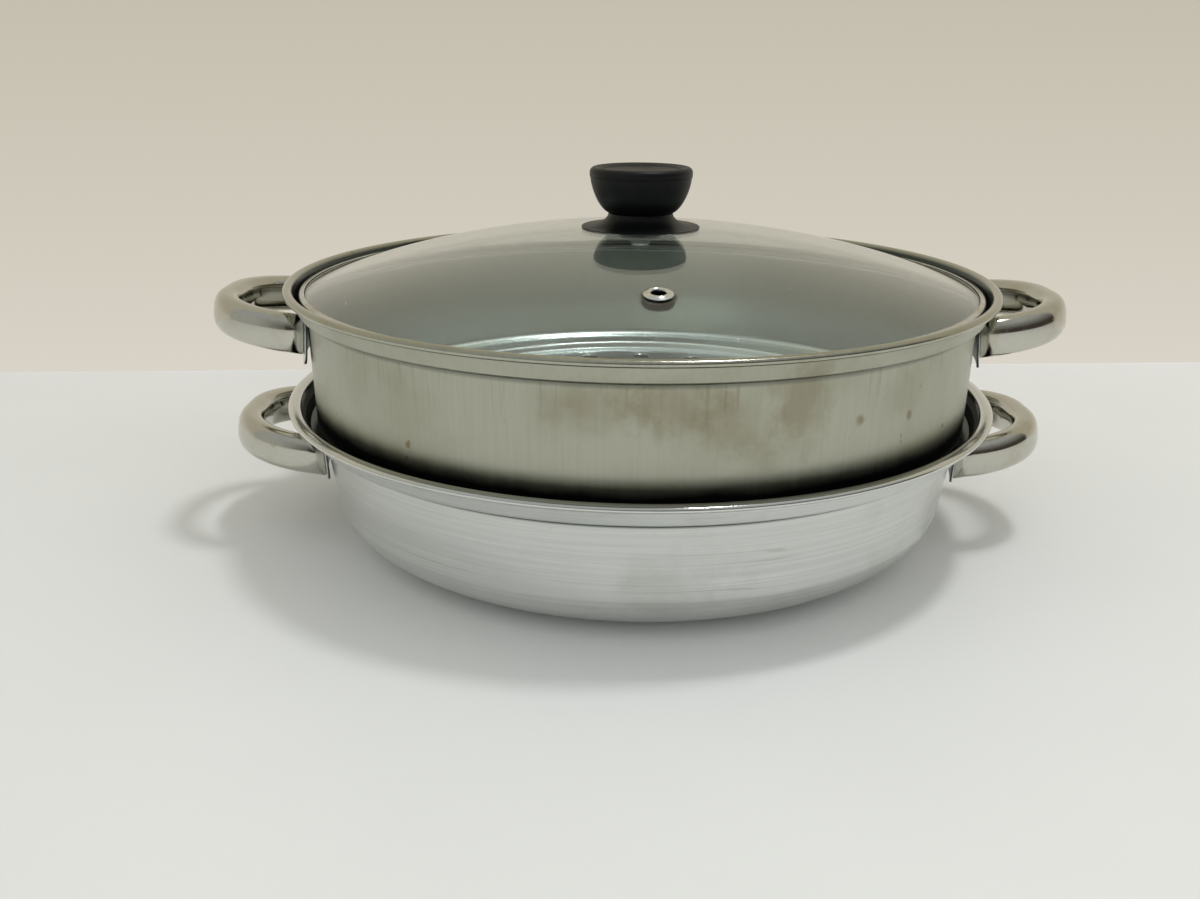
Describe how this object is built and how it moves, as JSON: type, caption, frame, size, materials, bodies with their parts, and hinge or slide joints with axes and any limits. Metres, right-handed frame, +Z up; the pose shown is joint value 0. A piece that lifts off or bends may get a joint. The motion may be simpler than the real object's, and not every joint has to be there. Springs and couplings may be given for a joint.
{
  "type": "two-tier steel soup and steamer pot",
  "caption": "Shallow stainless steel soup pot with a perforated steamer tier nested in its mouth and a domed glass lid with a black knob.",
  "frame": {"origin": "middle of the pot's flat base, on the surface that it stands on", "axes": "+Z up, +X through the right-hand handles, -Y to the front, where the lid's vent is"},
  "size_m": [0.3692, 0.306, 0.1589],
  "materials": {
    "pot_shell": "satin drawn stainless steel with faint wear rings",
    "pot_handle_left": "polished stainless steel tube",
    "pot_handle_right": "polished stainless steel tube",
    "pot_handle_plate_left": "satin stainless steel plate",
    "pot_handle_plate_right": "satin stainless steel plate",
    "steamer_shell": "dull stainless steel with upright brush marks",
    "steamer_handle_left": "polished stainless steel tube",
    "steamer_handle_right": "polished stainless steel tube",
    "steamer_handle_plate_left": "satin stainless steel plate",
    "steamer_handle_plate_right": "satin stainless steel plate",
    "lid_glass": "clear toughened glass, slightly green-grey",
    "lid_band": "rolled stainless steel band",
    "lid_edge_seal": "grey silicone",
    "vent_eyelet": "bright stainless steel eyelet",
    "vent_grommet": "grey silicone",
    "vent_backing_ring": "bright stainless steel ring",
    "knob_body": "satin black heat-resistant plastic",
    "knob_skirt": "satin black heat-resistant plastic",
    "knob_cap": "satin black heat-resistant plastic",
    "knob_insert": "turned brass",
    "knob_screw": "bright stainless steel",
    "knob_washer": "stamped stainless steel",
    "knob_seal_washer": "grey silicone",
    "knob_seal_pad": "grey silicone"
  },
  "bodies": {
    "pot": {"pot_shell": "pot_shell", "pot_handle_left": "pot_handle_left", "pot_handle_right": "pot_handle_right", "pot_handle_plate_left": "pot_handle_plate_left", "pot_handle_plate_right": "pot_handle_plate_right"},
    "steamer": {"steamer_shell": "steamer_shell", "steamer_handle_left": "steamer_handle_left", "steamer_handle_right": "steamer_handle_right", "steamer_handle_plate_left": "steamer_handle_plate_left", "steamer_handle_plate_right": "steamer_handle_plate_right"},
    "lid": {"lid_glass": "lid_glass", "lid_band": "lid_band", "lid_edge_seal": "lid_edge_seal", "vent_eyelet": "vent_eyelet", "vent_grommet": "vent_grommet", "vent_backing_ring": "vent_backing_ring", "knob_body": "knob_body", "knob_skirt": "knob_skirt", "knob_cap": "knob_cap", "knob_insert": "knob_insert", "knob_screw": "knob_screw", "knob_washer": "knob_washer", "knob_seal_washer": "knob_seal_washer", "knob_seal_pad": "knob_seal_pad"}
  },
  "joints": [
    {"name": "steamer_lift", "type": "slide", "parent": "pot", "child": "steamer", "axis": [0, 0, 1], "range_m": [0, 0.12]},
    {"name": "lid_lift", "type": "slide", "parent": "steamer", "child": "lid", "axis": [0, 0, 1], "range_m": [0, 0.1]}
  ]
}
